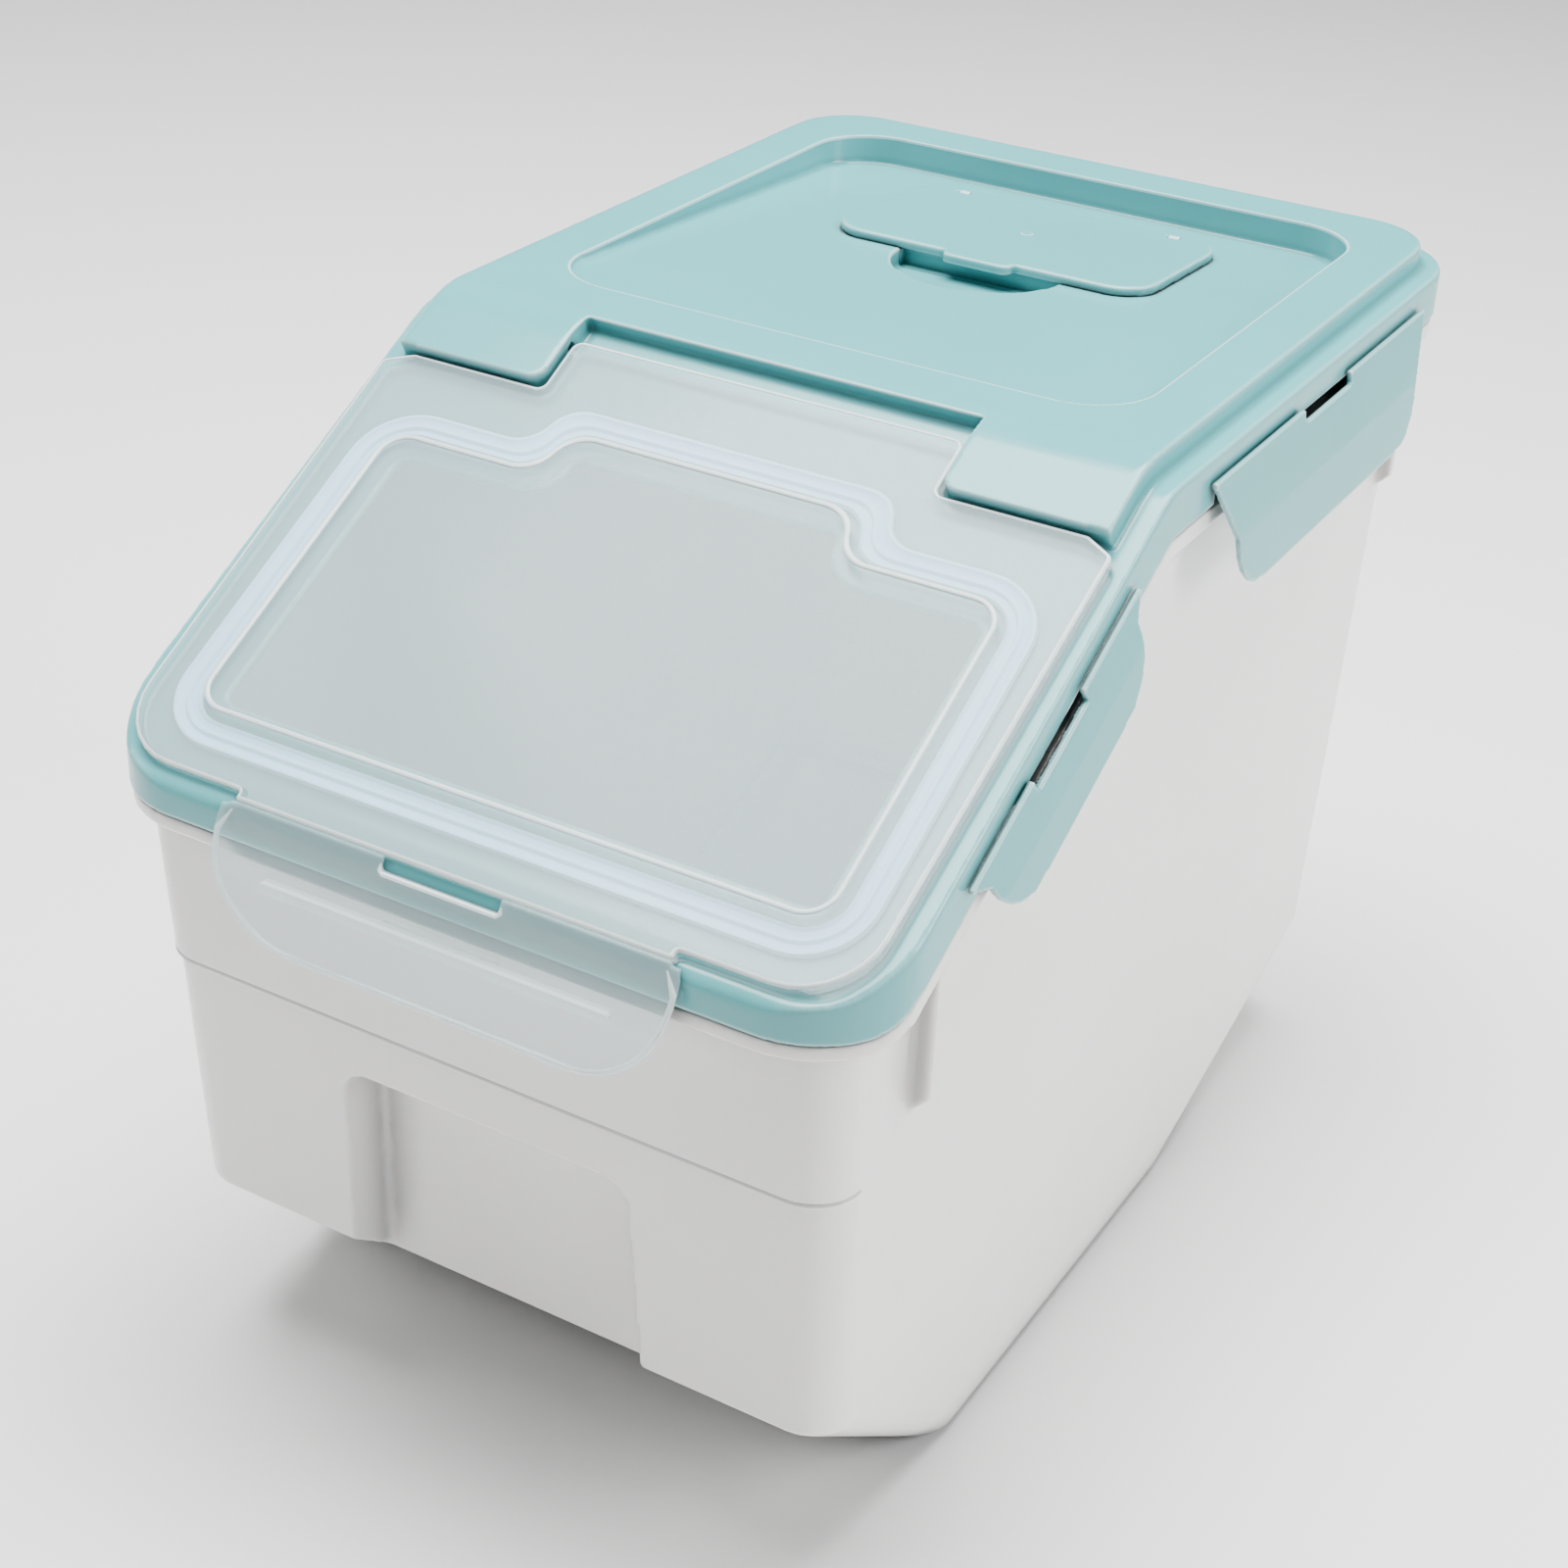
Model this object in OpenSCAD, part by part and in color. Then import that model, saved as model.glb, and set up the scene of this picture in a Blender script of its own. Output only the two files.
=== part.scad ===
// Rice bin with a flip lid.
// A tapered tub carries a lid frame whose deck slopes down to the front. A clear flip lid turns
// on two stub pins in a notch of the frame's raised back deck and closes the scooping mouth.
// Five flap latches close the bin: one on the flip lid's front edge and two on each side.
// A small cover on the back deck closes a drying compartment.
// +Z is up, -Y is the front, and the origin is on the floor below the middle of the whole bin.

/* [Rim and slope] */
// Outside width of the lid frame's skirt
rim_w = 222; // [216:1:232]
// Outside length of the lid frame's skirt
rim_l = 362.5; // [355:0.5:375]
// Corner radius of the skirt, seen from above
rim_r = 28; // [24:1:32]
// Height of the skirt's lower edge at the back
rim_back_z = 248; // [243:1:254]
// Slope of the lid deck, in degrees
slope = 28.4; // [27.6:0.2:29.2]
// Length from the skirt's front face back to the bend at the top of the slope
slope_l = 147.9; // [140:0.1:156]
// Length of the skirt's level stretch at the front
foot_l = 16.6; // [12:0.2:20]
// Bend radius of the rim line at the top of the slope
bend_r = 10; // [8:1:14]
// Bend radius of the rim line at the foot of the slope
foot_r = 30; // [27:1:34]

/* [Tub] */
// Taper of each side of the tub from its mouth down to its base
tub_taper = 2.5; // [1:0.1:4]
// Distance from the skirt's outer face in to the tub's side at its mouth
side_set = 8.5; // [8:0.1:10]
// Wall thickness of the tub
tub_t = 2.4; // [2:0.1:3]
// Corner radius of the tub, seen from above
tub_r = 13; // [11:1:16]
// Lean of the front and back walls, in degrees
wall_lean = 4; // [3:0.2:5]
// Distance from the skirt's front face back to the tub's front wall
front_set = 8.4; // [7.8:0.1:9]
// Distance from the skirt's back face forward to the tub's back wall
back_set = 6.9; // [6.5:0.1:8]
// Length of the chamfer below the front wall
toe_l = 57; // [50:0.5:70]
// Height of the chamfer below the front wall
toe_h = 50.8; // [45:0.2:55]
// Length of the chamfer below the back wall
heel_l = 99.5; // [90:0.5:110]
// Height of the chamfer below the back wall
heel_h = 39; // [34:1:44]
// Rounding of the bottom edges
foot_round = 5; // [4:0.5:6]
// Height of the tub's rim flange
flange_h = 5.7; // [5:0.1:6.5]
// Distance from the skirt's outer face in to the flange's edge
flange_in = 0.6; // [0.5:0.1:1]
// Height of the tub's wall above the rim line
upstand_h = 8.4; // [7:0.1:8.6]
// Height of the step across the front wall
step_z = 126.5; // [118:0.5:135]
// How far the front wall stands out above the step
step_out = 1.7; // [1.2:0.1:2]
// Width of the front grip recess at its top
grip_w = 86; // [76:1:96]
// Extra width of the grip recess at the foot of the front wall
grip_flare = 6.6; // [4:0.2:8]
// Height of the grip recess's top edge
grip_z = 109.4; // [100:0.2:115]
// Depth of the grip recess
grip_d = 15.5; // [12:0.5:18]
// Corner radius of the grip recess
grip_r = 7; // [5:0.5:10]
// Length of a rim rib below the rim line
rib_l = 52; // [40:1:56]
// How far a rim rib stands out from the wall
rib_out = 4.6; // [3.6:0.2:5]
// Thickness of a rim rib
rib_t = 2.2; // [1.6:0.2:3]
// Distance from the skirt's front face back to the front ribs
rib_front_y = 45; // [40:1:50]
// Distance from the skirt's back face forward to the back ribs
rib_back_y = 26; // [24:0.5:30]

/* [Lid frame] */
// Wall thickness of the lid frame
frame_t = 2.2; // [1.8:0.1:2.4]
// Height of the ledge and of the deck under the flip lid, over the rim line
ledge_h = 14; // [13.6:0.1:14.2]
// Share of the ledge's height that is lost at the front edge
front_drop = 0.24; // [0.2:0.01:0.28]
// Rounding of the ledge's front edge
nose_r = 4.5; // [4.2:0.1:5.5]
// Distance from the skirt's outer face in to the raised back deck's wall
plateau_in = 6.6; // [6:0.1:7.4]
// Height of the raised back deck over the rim line
plateau_h = 20.4; // [20.2:0.1:21]
// Distance down the slope from the bend to the raised deck's front step
step_v = 17.4; // [16.5:0.1:18]
// Half width of the hinge notch in the raised deck
notch_w = 58.8; // [56:0.2:62]
// Corner radius where the hinge notch opens to the front
notch_r = 4.5; // [3:0.5:6]
// Distance up the slope from the bend to the notch's back wall
notch_v = 7.6; // [7:0.1:8]
// Distance from the skirt's outer face in to the sunken panel's side
panel_side = 23.5; // [20:0.5:28]
// Distance behind the bend where the sunken panel starts
panel_y0 = 18; // [15:0.5:24]
// Distance from the skirt's back face forward to the panel's back wall
panel_back = 24.5; // [22:0.5:30]
// Corner radius of the sunken panel
panel_r = 20; // [15:1:24]
// Depth of the sunken panel at its front
panel_d0 = 0.9; // [0.6:0.1:1.2]
// Depth of the sunken panel at its back wall
panel_d1 = 9.2; // [8:0.1:9.6]
// Inside depth of the drying compartment below its seat
well_d = 24; // [16:1:30]

/* [Rim gasket] */
// Width of the rim gasket
gasket_w = 5; // [4:0.2:5.6]
// Gap between pieces that rest on each other
rest_gap = 0.3; // [0.2:0.05:0.4]

/* [Flip lid] */
// Height of the flip lid's top face over the rim line
lid_h = 18; // [17.8:0.1:18.2]
// Plate thickness of the flip lid
lid_t = 2; // [1.6:0.1:2.2]
// Distance from the skirt's outer face in to the flip lid's back corners
lid_in = 4; // [3.4:0.1:6]
// How much narrower the flip lid is at its front corners
lid_taper = 4; // [3:0.5:6]
// Radius of the lid's front corners
lid_r = 20; // [16:1:24]
// Gap between the lid's back edge and the frame's step
lid_gap = 0.8; // [0.6:0.1:1.2]
// Clearance at each side of the lid's hinge tongue
tongue_gap = 1; // [0.6:0.1:1.4]
// Radius of the lid's hinge pins
pin_r = 1.5; // [1.2:0.1:1.6]
// Radial clearance of the hinge pins in their bores
pin_fit = 0.05; // [0.03:0.01:0.1]
// Length of the lid's hinge pins
pin_l = 5; // [4:0.2:5.4]
// Distance from the lid's side edge in to the window's raised outline
window_side = 17.5; // [16.5:0.5:24]
// Distance down the slope from the bend to the window's back edge
window_v0 = 44; // [42:1:48]
// Distance from the lid's front edge up to the window's front edge
window_front = 18.4; // [17:0.2:22]
// Width of the window where it reaches into the tongue
throat_w = 86; // [70:1:90]
// Distance down the slope from the bend to the window's end in the tongue
throat_v = 30; // [28.5:0.5:34]
// Height of the window's raised outline
line_h = 0.5; // [0.3:0.1:0.8]
// Distance from the window's outline out to the lid seal
seal_out = 2.3; // [1.6:0.1:3]
// Width of the lid seal's band
seal_w = 7.6; // [6:0.2:9]

/* [Latches] */
// Thickness of a latch flap
flap_t = 1.8; // [1.4:0.1:2]
// Radius of the latch's hinge edge
bead_r = 1; // [0.9:0.05:1.1]
// Length of a front side latch along its hinge
low_l = 91; // [84:1:94]
// Drop of a front side latch
low_drop = 23; // [21:0.5:27]
// Distance down the slope from the bend to the middle of a front side latch
low_v = 67.3; // [65:0.1:69]
// Length of a back side latch along its hinge
high_l = 154; // [140:1:158]
// Drop of a back side latch
high_drop = 33.5; // [28:0.5:38]
// Distance from the skirt's back face forward to the middle of a back side latch
high_y = 117.5; // [114:0.5:121]
// Height of the side latches' hinges over the rim line
side_hinge_h = 7; // [6.4:0.1:7.6]
// Length of the front latch along its hinge
nose_l = 125; // [118:1:130]
// Drop of the front latch
nose_drop = 32; // [29:0.5:36]
// Outward lean of the side latches above their crease, in degrees
side_lean = 13; // [10:1:16]
// Outward lean of the front latch above its crease, in degrees
front_lean = 22; // [20:1:25]
// Outward lean of a latch below its crease, in degrees
lip_lean = 6; // [3:1:12]
// Height of the slot at the middle of a latch's hinge
slot_h = 3.6; // [3:0.1:4]

/* [Compartment cover] */
// Width of the compartment cover
cover_w = 101; // [96:1:108]
// Length of the compartment cover, front to back
cover_l = 62; // [56:1:66]
// Distance from the skirt's back face forward to the cover's back edge
cover_back = 41.5; // [39:0.5:46]
// Corner radius of the cover
cover_r = 12; // [9:0.5:13]
// Plate thickness of the cover
cover_t = 2.8; // [2.4:0.1:3.2]
// Height of the cover's top face over the panel's floor
cover_proud = 2.5; // [2.2:0.1:3]
// Gap round the cover
cover_gap = 0.6; // [0.4:0.1:0.8]
// Radius of the cover's hinge barrel
barrel_r = 1.7; // [1.6:0.1:1.9]
// Radius of the cover's hinge pins
cover_pin_r = 1; // [0.8:0.1:1.1]
// Half length of the cover's hinge barrel
barrel_l = 33; // [28:1:35]
// Half width of the finger lip on the cover
finger_w = 11; // [8:0.5:14]
// Reach of the finger lip in front of the cover
finger_l = 4; // [3:0.2:5]
// Radius of the finger scoop in the panel
scoop_r = 25.5; // [20:0.5:28]
// Depth of the finger scoop
scoop_d = 5.5; // [4.5:0.1:6]

/* [Hidden] */
$fn = 64;
far = 500;
skin = 0.01;
bend_steps = 6;
aqua = [0.62, 0.78, 0.77];
clear_aqua = [0.75, 0.85, 0.83];
warm_white = [0.91, 0.9, 0.88];
pale_blue = [0.82, 0.89, 0.93];

// Rim line: where it starts level, and its height at the front
level_l = rim_l - slope_l;
rim_front_z = rim_back_z - (slope_l - foot_l) * tan(slope);
panel_w = rim_w - 2 * panel_side;
tub_mouth_w = rim_w - 2 * side_set;
tub_base_w = tub_mouth_w - 2 * tub_taper;

// Hinge line of the front latch, down the slope and over the rim line
nose_back = 0.1;
nose_under = 0.7;
nose_h = lid_h - nose_under;
nose_v = (slope_l - nose_back - nose_h * sin(slope)) / cos(slope);
nose_in = 3.9;
lid_front_v = nose_v - nose_in;
lid_w = rim_w - 2 * lid_in;
window_w = lid_w - 2 * window_side;
window_v1 = lid_front_v - window_front;
crease_share = 0.5;
nose_reach = flap_reach(nose_drop, front_lean);

// The bin's middle lies half way between the front latch's tip and the back of the skirt
y_back = round(50 * (rim_l + nose_reach - nose_back)) / 100;
y_front = y_back - rim_l;
bend_y = y_back - level_l;
nose_y = y_front + nose_back;
nose_z = rim_back_z - nose_v * sin(slope) + nose_h * cos(slope);

// Hinge of the flip lid: the round end of its tongue
tongue_r = (lid_h - ledge_h - rest_gap) / 2;
tongue_back = 0.15;
hinge_v = tongue_r + tongue_back;
hinge_h = lid_h - tongue_r;
tongue_w = notch_w - tongue_gap;
boss_l = 7;
boss_w = 7;

// Lid plate
lid_ear = 8;
lid_ear_v = 4;
lid_edge_t = 1.6;
window_r = 8;
throat_r = 7.5;
line_t = 0.8;
mouth_in = 4;
tab_w = nose_l - 1;

// Gasket seat: a shelf round the frame's underside
shelf_in = 14;
shelf_t = 2;
seat_h = ledge_h - frame_t;
gasket_front = 5.8;
gasket_back = 5.2;
gasket_side = 7.2;
gasket_round = 1.4;

// Sunken panel
deck_z = rim_back_z + plateau_h;
panel_ya = bend_y + panel_y0;
panel_yb = y_back - panel_back;
panel_tilt = (panel_d1 - panel_d0) / (panel_yb - panel_ya);

// Compartment cover
cover_yb = y_back - cover_back;
cover_ya = cover_yb - cover_l;
panel_z = deck_z - panel_d0 - panel_tilt * (cover_ya - panel_ya);
cover_z = panel_z + cover_proud;
cover_seat = cover_z - cover_t - rest_gap;
barrel_y = cover_yb - barrel_r;
barrel_z = cover_z - barrel_r;
lug_l = 3.4;
lug_gap = 0.4;
well_t = 2;
seat_t = 6;
well_side = 4.5;
well_w = cover_w - 2 * well_side;
well_in = 5;
well_ya = cover_ya + well_in;
well_back = 10;
well_yb = cover_yb - well_back;
well_r = 7;
// Share of the room under the cover's front edge that the scoop takes, and of its lip that is rounded
scoop_share = 0.8;
scoop_in = scoop_share * (well_in - well_t);
lip_share = 0.8;
lip_r = lip_share * finger_l;
well_slots = 7;
well_slot_w = 3;
collar_t = 1.4;
collar_h = 4;

// Latches
side_x = rim_w / 2 + bead_r + rest_gap;
cut_end = 5;
cut_top = 1.4;
low_slot = 27;
high_slot = 34;
nose_slot = 33.5;
low_end = 23.5;
low_r = 18;
high_end = 27;
high_r = 16;
hook_y = -bead_r - rest_gap - flange_in / 2;
nose_end = 23;
nose_r2 = 26;
nose_hook = nose_back + rest_gap;

// ---- Shared measures and shapes ----

// Outward reach of a flap from its hinge axis to the outer side of its lip
function flap_reach(drop, lean) = crease_share * drop * tan(lean)
    + (1 - crease_share) * drop * tan(lip_lean) + flap_t / 2;

// Heights over the rim line: at the front edge, and where the line meets its two bends
function rim_front(h) = rim_front_z + h * (1 - front_drop);
function bend_at(h) = bend_y - h * tan(slope / 2);
function foot_at(h) = bend_y - (rim_back_z - rim_front(h) + h / cos(slope)) / tan(slope);

// The tub's walls at a height
function front_wall(z) = y_front + front_set + (rim_front_z - z) * tan(wall_lean);
function back_wall(z) = y_back - back_set - (rim_back_z - z) * tan(wall_lean);
function side_wall(z) = (tub_base_w + (tub_mouth_w - tub_base_w) * z / rim_back_z) / 2;

// Bore of the hinge pins
function bore_r(r) = r + pin_fit;

// Rounded rectangle, centred on the middle line
module round_rect(w, y0, y1, r) {
    translate([-w / 2, y0 + r]) square([w, y1 - y0 - 2 * r]);
    translate([-w / 2 + r, y0]) square([w - 2 * r, y1 - y0]);
    for (s = [-1, 1], y = [y0 + r, y1 - r]) translate([s * (w / 2 - r), y]) circle(r);
}

// A side profile drawn in Y and Z, carried across the bin
module across(w) {
    rotate([90, 0, 90]) linear_extrude(w, center = true) children();
}

// A shape drawn on the slope: X across, Y up the slope, Z away from the deck
module on_slope() {
    translate([0, bend_y, rim_back_z]) rotate([slope, 0, 0]) children();
}

// Points of an arc of radius r round c, from angle a0 to a1
function arc(c, r, a0, a1) = [for (i = [0 : bend_steps])
    c + r * [cos(a0 + (a1 - a0) * i / bend_steps), sin(a0 + (a1 - a0) * i / bend_steps)]];

// Side profile of everything under a line that runs h above the rim line
module under_rim(h) {
    br = bend_r + h;
    fr = foot_r - h;
    b = [bend_at(h) + br * tan(slope / 2), rim_back_z + h - br];
    f = [foot_at(h) - fr * tan(slope / 2), rim_front(h) + fr];
    polygon(concat([[-far, -far], [-far, rim_front(h)]], arc(f, fr, -90, slope - 90),
        arc(b, br, slope + 90, 90), [[far, rim_back_z + h], [far, -far]]));
}

// Upright column inside the skirt's outline
module rim_column(inset) {
    linear_extrude(far)
        round_rect(rim_w - 2 * inset, y_front + inset, y_back - inset, rim_r - inset);
}

// Slice of that column between two lines over the rim line
module rim_band(inset, h0, h1) {
    difference() {
        intersection() {
            rim_column(inset);
            across(far) under_rim(h1);
        }
        across(far) under_rim(h0);
    }
}

// Outline of the window, grown by g
module window(g) {
    w = throat_w / 2 + g;
    v = -window_v0 + g;
    f = max(throat_r - g, 1);
    round_rect(window_w + 2 * g, -window_v1 - g, v, window_r + g);
    round_rect(2 * w, -window_v1 / 2, -throat_v + g, throat_r + g);
    for (s = [-1, 1]) difference() {
        translate([s * w, v]) square(2 * f, center = true);
        translate([s * (w + f), v + f]) circle(f);
    }
}

// ---- Tub ----

// Corner disc of the tub's body with a rounded lower edge
module puck(r, e) {
    for (a = [0 : 30 : 90])
        translate([0, 0, e * (1 - cos(a))]) cylinder(h = skin, r = r - e * (1 - sin(a)), $fn = 32);
}

// The tub's body, set in by g on every side, with its front wall stood out by d
module tub_body(g, d = 0) {
    r = tub_r - g;
    e = foot_round * (1 - g / tub_r);
    top = rim_back_z + ledge_h;
    tm = toe_h / toe_l;
    hm = heel_h / heel_l;
    fy = front_wall(0) + toe_l + g * (sqrt(1 + tm * tm) - 1) / tm;
    by = back_wall(0) - heel_l - g * (sqrt(1 + hm * hm) - 1) / hm;
    fz = toe_h + g * (sqrt(1 + tm * tm) - tm);
    bz = heel_h + g * (sqrt(1 + hm * hm) - hm);
    hull() for (s = [-1, 1]) {
        translate([s * (side_wall(0) - tub_r), fy + r, g]) puck(r, e);
        translate([s * (side_wall(0) - tub_r), by - r, g]) puck(r, e);
        translate([s * (side_wall(fz) - tub_r), front_wall(fz) + tub_r - d, fz]) puck(r, 0);
        translate([s * (side_wall(bz) - tub_r), back_wall(bz) - tub_r, bz]) puck(r, 0);
        translate([s * (side_wall(top) - tub_r), front_wall(top) + tub_r - d, top]) puck(r, 0);
        translate([s * (side_wall(top) - tub_r), back_wall(top) - tub_r, top]) puck(r, 0);
    }
}

// Front grip recess, grown by g
module grip(g) {
    w0 = grip_w / 2 + g;
    w1 = w0 + grip_flare / 2;
    z1 = grip_z + g;
    r = grip_r + g;
    z0 = toe_h / 2;
    intersection() {
        translate([0, y_front + far / 2, 0]) rotate([90, 0, 0]) linear_extrude(far) {
            polygon([[-w1, z0], [-w0, z1 - r], [-w0 + r, z1], [w0 - r, z1], [w0, z1 - r], [w1, z0]]);
            for (s = [-1, 1]) translate([s * (w0 - r), z1 - r]) circle(r);
        }
        across(far) polygon([[front_wall(z0) + grip_d + g, z0], [y_front - grip_d, z0],
            [y_front - grip_d, z1], [front_wall(z1) + grip_d + g, z1]]);
    }
}

// Fins below the rim flange
module ribs() {
    x0 = tub_base_w / 2 - tub_t;
    x1 = tub_mouth_w / 2 + rib_out;
    for (y = [y_front + rib_front_y, y_back - rib_back_y]) {
        z1 = min(rim_back_z, rim_back_z - (bend_y - y) * tan(slope)) - flange_h / 2;
        for (s = [-1, 1]) translate([0, y + rib_t / 2, 0]) rotate([90, 0, 0]) linear_extrude(rib_t)
            polygon([[s * x0, z1], [s * x1, z1], [s * x1, z1 - rib_l + rib_out],
                [s * (x1 - rib_out), z1 - rib_l], [s * x0, z1 - rib_l]]);
    }
}

// Storage tub
module tub() {
    color(warm_white) difference() {
        union() {
            difference() {
                union() {
                    intersection() {
                        tub_body(0);
                        across(far) under_rim(upstand_h);
                    }
                    intersection() {
                        tub_body(0, step_out);
                        translate([-far / 2, y_front, step_z]) cube([far, rim_l / 2, far]);
                        across(far) under_rim(upstand_h);
                    }
                    rim_band(flange_in, -rest_gap - flange_h, -rest_gap);
                    ribs();
                }
                tub_body(tub_t);
            }
            intersection() {
                tub_body(0);
                grip(tub_t);
            }
        }
        grip(0);
    }
}

// ---- Lid frame ----

// Raised back deck: a slice behind the step, set in from the skirt
module back_deck(inset, h0, h1, v) {
    difference() {
        intersection() {
            rim_column(inset);
            across(far) under_rim(h1);
        }
        across(far) under_rim(h0);
        on_slope() translate([-far, -far - v, -far]) cube([2 * far, far, 2 * far]);
    }
}

// Sunken panel with its tilted floor, grown by g
module panel(g) {
    intersection() {
        linear_extrude(far)
            round_rect(panel_w + 2 * g, panel_ya - g, panel_yb + g, panel_r + g);
        across(far) polygon([
            [panel_ya - panel_r, deck_z - panel_d0 + panel_tilt * panel_r - g],
            [panel_ya - panel_r, far], [panel_yb + panel_r, far],
            [panel_yb + panel_r, deck_z - panel_d1 - panel_tilt * panel_r - g]]);
    }
}

// Hinge notch, grown by g
module notch(g) {
    on_slope() translate([0, 0, ledge_h - g]) linear_extrude(far / 2) {
        translate([-notch_w - g, -2 * step_v]) square([2 * (notch_w + g), 2 * step_v + notch_v + g]);
        for (s = [-1, 1]) difference() {
            translate([s * (notch_w + g), -step_v]) square(2 * notch_r, center = true);
            translate([s * (notch_w + notch_r + g), notch_r - step_v]) circle(notch_r);
        }
    }
}

// Openings in the skirt behind a side latch, drawn round the middle of its hinge
module latch_opening(l) {
    translate([-l / 2 + cut_end, -2 * frame_t - rest_gap - bead_r, -far / 10])
        cube([l - 2 * cut_end, 3 * frame_t, far / 10 - cut_top]);
}

// Puts a shape at a side latch's hinge: X along the hinge, Y outwards
module at_low(s) {
    on_slope() translate([s * side_x, -low_v, side_hinge_h]) rotate([0, 0, -s * 90]) children();
}
module at_high(s) {
    translate([s * side_x, y_back - high_y, rim_back_z + side_hinge_h])
        rotate([0, 0, -s * 90]) children();
}

// Plan of the compartment cover, grown by g
module cover_plan(g) {
    round_rect(cover_w + 2 * g, cover_ya - g, cover_yb + g, cover_r + g);
    round_rect(2 * (finger_w + g), cover_ya - finger_l - g, cover_ya + 2 * finger_l, lip_r + g);
}

// Tilts a shape about the cover's front top edge, to lie along the panel's floor
module on_panel() {
    translate([0, cover_ya, cover_z]) rotate([-atan(panel_tilt), 0, 0])
        translate([0, -cover_ya, -cover_z]) children();
}

// Outside of the drying compartment: its seat and the box below it
module well_body() {
    translate([0, 0, cover_seat - well_d - well_t]) linear_extrude(well_d + well_t)
        round_rect(well_w + 2 * well_t, well_ya - well_t, well_yb + well_t, well_r + well_t);
    translate([0, 0, cover_seat - seat_t]) linear_extrude(seat_t)
        round_rect(cover_w, cover_ya, cover_yb, cover_r);
}

// Drying compartment of the frame below the cover, with the cover's hinge lugs
module compartment_box() {
    color(aqua) difference() {
        on_panel() difference() {
            union() {
                well_body();
                for (s = [-1, 1]) cover_lug(s);
            }
            translate([0, 0, cover_seat - well_d]) linear_extrude(far)
                round_rect(well_w, well_ya, well_yb, well_r);
            for (i = [1 : well_slots])
                translate([(i / (well_slots + 1) - 0.5) * well_w, (well_ya + well_yb) / 2, cover_seat - well_d])
                    cube([well_slot_w, (well_yb - well_ya) / 2, 3 * well_t], center = true);
            barrel_x(barrel_r + rest_gap, barrel_l + lug_gap);
            barrel_x(bore_r(cover_pin_r), barrel_l + lug_l);
        }
        scoop(0);
    }
}

// Round bar along the cover's hinge axis
module barrel_x(r, l) {
    translate([-l, barrel_y, barrel_z]) rotate([0, 90, 0]) cylinder(h = 2 * l, r = r);
}

// Lug that holds one of the cover's pins
module cover_lug(s) {
    x = s > 0 ? barrel_l + lug_gap : -barrel_l - lug_gap - lug_l;
    translate([x, barrel_y, barrel_z]) rotate([0, 90, 0]) cylinder(h = lug_l, r = barrel_r);
    translate([x, barrel_y - barrel_r, cover_seat - well_t])
        cube([lug_l, 2 * barrel_r, barrel_z - cover_seat + well_t]);
}

// Finger scoop in front of the cover and a little way under it, grown by g
module scoop(g) {
    r = (scoop_r * scoop_r + scoop_d * scoop_d) / (2 * scoop_d);
    intersection() {
        translate([0, cover_ya, panel_z - 3 * scoop_d]) rotate([0, 0, 90])
            cylinder(h = 6 * scoop_d, r = scoop_r + g);
        translate([far / 2, cover_ya, panel_z - scoop_d + r]) rotate([0, -90, 0])
            cylinder(h = far, r = r + g);
        translate([-far / 2, cover_ya - far, 0]) cube([far, far + scoop_in + g, far]);
    }
}

// Lid frame
module lid_frame() {
    color(aqua) difference() {
        union() {
            difference() {
                union() {
                    rim_band(0, 0, ledge_h);
                    back_deck(plateau_in, seat_h, plateau_h, step_v);
                }
                rim_band(frame_t, -frame_t, seat_h);
                difference() {
                    union() {
                        back_deck(shelf_in, seat_h - skin, seat_h + shelf_t, step_v - frame_t);
                        back_deck(plateau_in + frame_t, seat_h + shelf_t - skin,
                            plateau_h - frame_t, step_v - frame_t);
                    }
                    panel(frame_t);
                    notch(frame_t);
                    hinge_boss();
                }
            }
            intersection() {
                panel(frame_t);
                translate([-far / 2, y_front, 0]) cube([far, rim_l, deck_z - panel_d0]);
            }
            intersection() {
                scoop(frame_t);
                translate([-far / 2, y_front, 0]) cube([far, rim_l, deck_z - panel_d0]);
            }
        }
        panel(0);
        notch(0);
        on_slope() translate([0, 0, seat_h - frame_t]) linear_extrude(2 * frame_t + shelf_t)
            window(-mouth_in);
        on_slope() for (s = [-1, 1]) hinge_pin(s, bore_r(pin_r), boss_l - 1);
        on_panel() {
            translate([0, 0, cover_seat]) linear_extrude(far) cover_plan(cover_gap);
            well_body();
        }
        scoop(0);
        for (s = [-1, 1]) {
            at_low(s) latch_opening(low_l);
            at_high(s) latch_opening(high_l);
        }
        across(far) translate([y_front, rim_front(ledge_h)]) difference() {
            translate([-nose_r, -nose_r]) square([2 * nose_r, 2 * nose_r]);
            translate([nose_r, -nose_r]) circle(nose_r);
            translate([nose_r, -nose_r]) square([nose_r, 2 * nose_r]);
        }
    }
}

// Block round each bore of the flip lid's hinge
module hinge_boss() {
    on_slope() for (s = [-1, 1])
        translate([s * (notch_w + boss_l / 2), -hinge_v, hinge_h])
            cube([boss_l, boss_w, 2 * boss_w], center = true);
}

// Stub pin of the flip lid's hinge, starting at the tongue's side
module hinge_pin(s, r, l) {
    x = s > 0 ? tongue_w - skin : -tongue_w - l + skin;
    translate([x, -hinge_v, hinge_h]) rotate([0, 90, 0]) cylinder(h = l, r = r);
}

// Gasket between the frame and the tub's rim
module rim_gasket() {
    color(pale_blue) difference() {
        intersection() {
            linear_extrude(far) difference() {
                gasket_plan(0);
                gasket_plan(gasket_w);
            }
            across(far) under_rim(seat_h);
        }
        across(far) under_rim(upstand_h + rest_gap);
    }
}

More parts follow.
